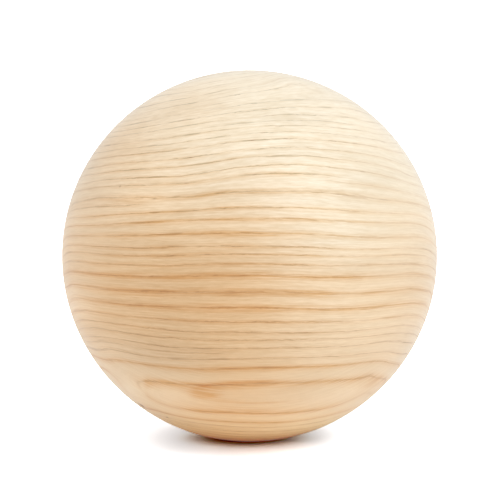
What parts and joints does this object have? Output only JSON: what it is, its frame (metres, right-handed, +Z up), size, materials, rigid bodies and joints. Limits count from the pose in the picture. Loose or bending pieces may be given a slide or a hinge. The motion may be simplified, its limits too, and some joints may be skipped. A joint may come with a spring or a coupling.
{
  "type": "wooden ball",
  "caption": "Plain solid turned ball of pale softwood, with bold growth rings and a fine satin-sanded surface.",
  "frame": {"origin": "centre of the ball", "axes": "+X along the grain and the axis the ball was turned about, -Y the front, +Z up"},
  "size_m": [0.08, 0.0792, 0.0792],
  "materials": {
    "wood": "fine-sanded softwood, satin, with darker latewood lines along the grain"
  },
  "bodies": {
    "root": {"ball": "wood"}
  },
  "joints": []
}
